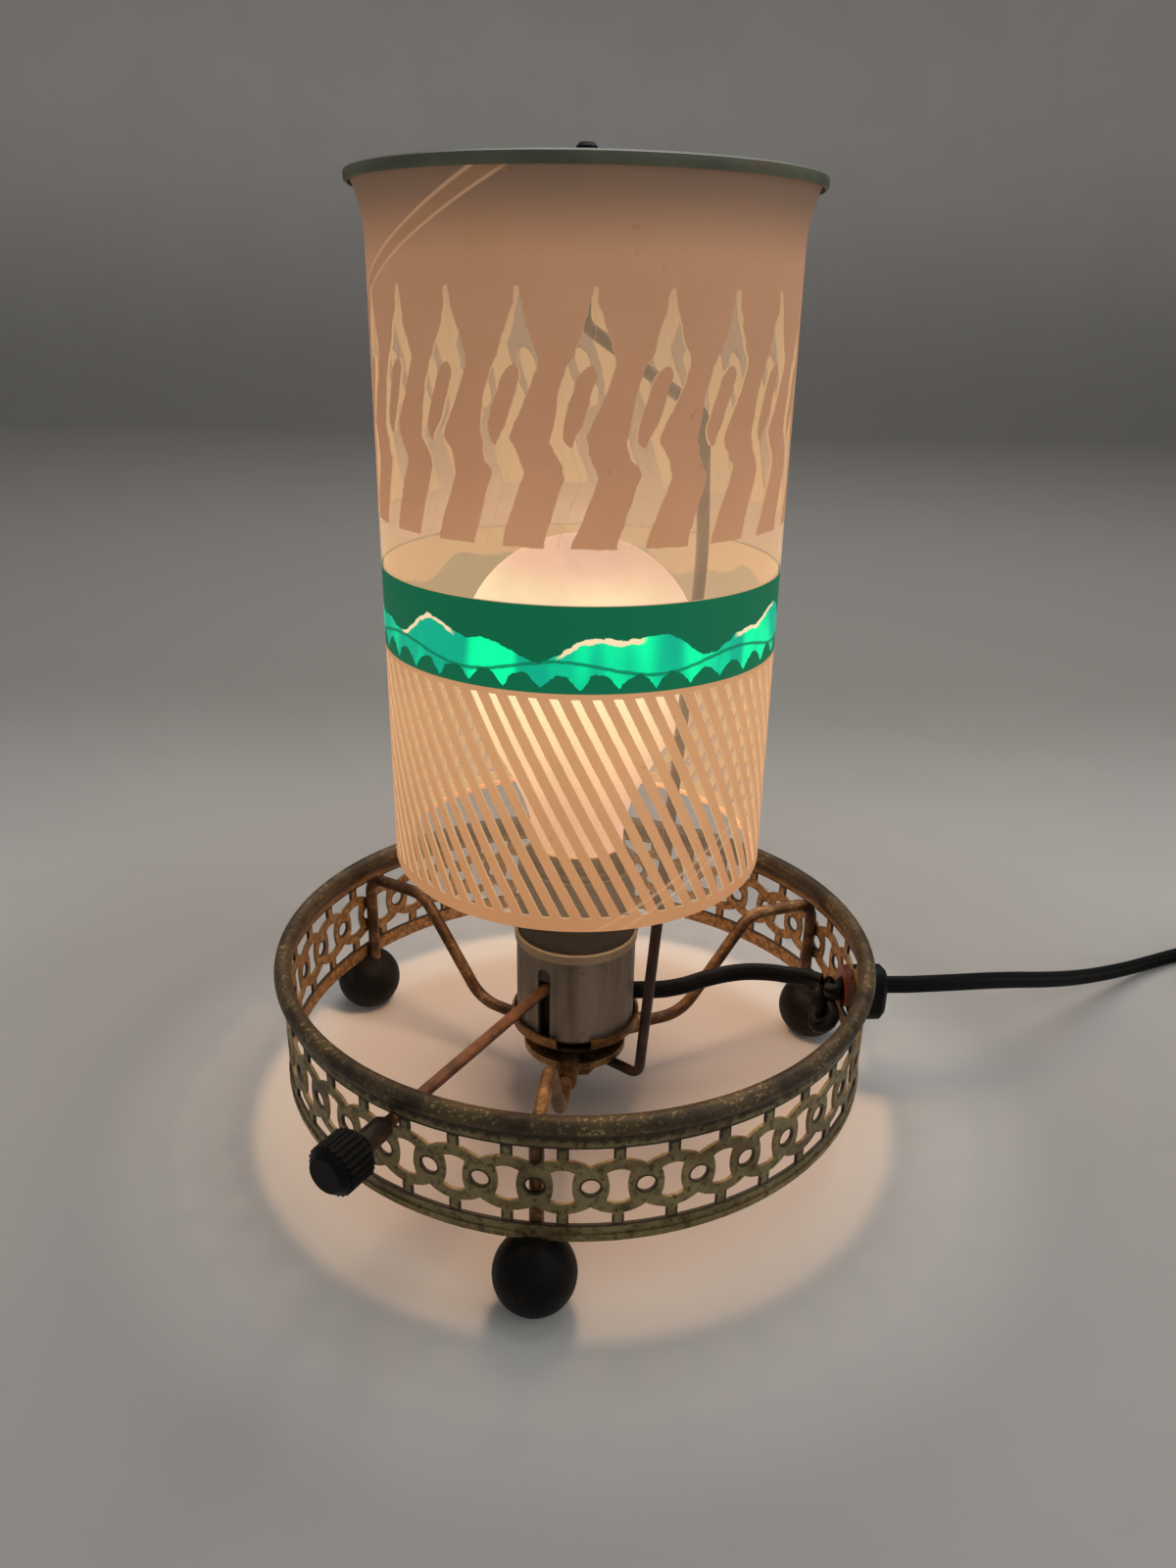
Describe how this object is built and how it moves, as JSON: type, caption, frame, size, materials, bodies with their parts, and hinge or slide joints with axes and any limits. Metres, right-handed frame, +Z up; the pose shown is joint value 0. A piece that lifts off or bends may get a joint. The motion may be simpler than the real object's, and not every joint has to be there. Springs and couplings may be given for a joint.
{
  "type": "rotating motion lamp",
  "caption": "Table lamp whose printed plastic drum turns on a needle over a bulb, above a pierced brass gallery ring with ball feet and a side switch knob.",
  "frame": {"origin": "on the table under the drum's axis, which is also the middle of the gallery ring", "axes": "+Z up along the drum's axis, -Y towards the front foot and the viewer, +X to the side where the cord leaves"},
  "size_m": [0.4404, 0.1817, 0.2541],
  "materials": {
    "aged_brass": "tarnished, dark and dull",
    "leg_wire": "copper brown, half gloss",
    "black_foot": "black, dusty",
    "hub_brass": "tarnished",
    "bright_brass": "plain",
    "grey_aluminium": "dull, small dents",
    "fibre": "pressed fibre, matt",
    "bakelite": "moulded",
    "rusty_rod": "rusted steel",
    "dark_coupling": "rusted steel",
    "black_knob": "fluted, worn gloss",
    "dark_wire": "dark red-brown steel",
    "bulb_glass": "frosted, lit",
    "bulb_brass": "plain",
    "bulb_glaze": "glazed insulator",
    "printed_drum": "thin printed film, lit from within",
    "olive_rim": "moulded, faded",
    "fan_sheet": "stamped sheet",
    "black_cap": "moulded",
    "black_cord": "smooth vinyl",
    "red_fibre": "pressed fibre",
    "black_flange": "moulded",
    "tie_tape": "tape",
    "blade_brass": "stamped"
  },
  "bodies": {
    "base": {"gallery_band": "aged_brass", "leg_front": "leg_wire", "leg_left": "leg_wire", "leg_right": "leg_wire", "foot_front": "black_foot", "foot_left": "black_foot", "foot_right": "black_foot", "hub_upper": "hub_brass", "hub_lower": "hub_brass", "hub_nipple": "bright_brass", "hub_washer": "hub_brass", "hub_nut": "bright_brass", "socket_cap": "hub_brass", "socket_shell": "grey_aluminium", "socket_liner": "fibre", "switch_body": "bakelite", "terminal_screws": "bright_brass", "screw_shell": "bright_brass", "centre_contact": "bright_brass", "pivot_wire": "dark_wire", "bulb_glass": "bulb_glass", "bulb_base": "bulb_brass", "bulb_contact": "bulb_glaze", "cord_lead": "black_cord", "grommet_bush": "red_fibre", "grommet_flange": "black_flange", "cord_run": "black_cord", "cord_coil": "black_cord", "coil_tie": "tie_tape", "cord_tail": "black_cord", "plug_body": "black_cord", "plug_blades": "blade_brass"},
    "drum": {"drum_sleeve": "printed_drum", "drum_rim": "olive_rim", "turbine_fan": "fan_sheet", "bearing_cup": "bright_brass", "bearing_cap": "black_cap"},
    "switch": {"switch_cam": "bright_brass", "switch_rod": "rusty_rod", "rod_coupling": "dark_coupling", "switch_knob": "black_knob"}
  },
  "joints": [
    {"name": "drum_spin", "type": "hinge", "parent": "base", "child": "drum", "pos_m": [0, 0, 0.2493], "axis": [0, 0, 1], "continuous": true},
    {"name": "switch_turn", "type": "hinge", "parent": "base", "child": "switch", "pos_m": [0, 0, 0.0439], "axis": [-0.518, -0.8554, 0], "continuous": true}
  ]
}
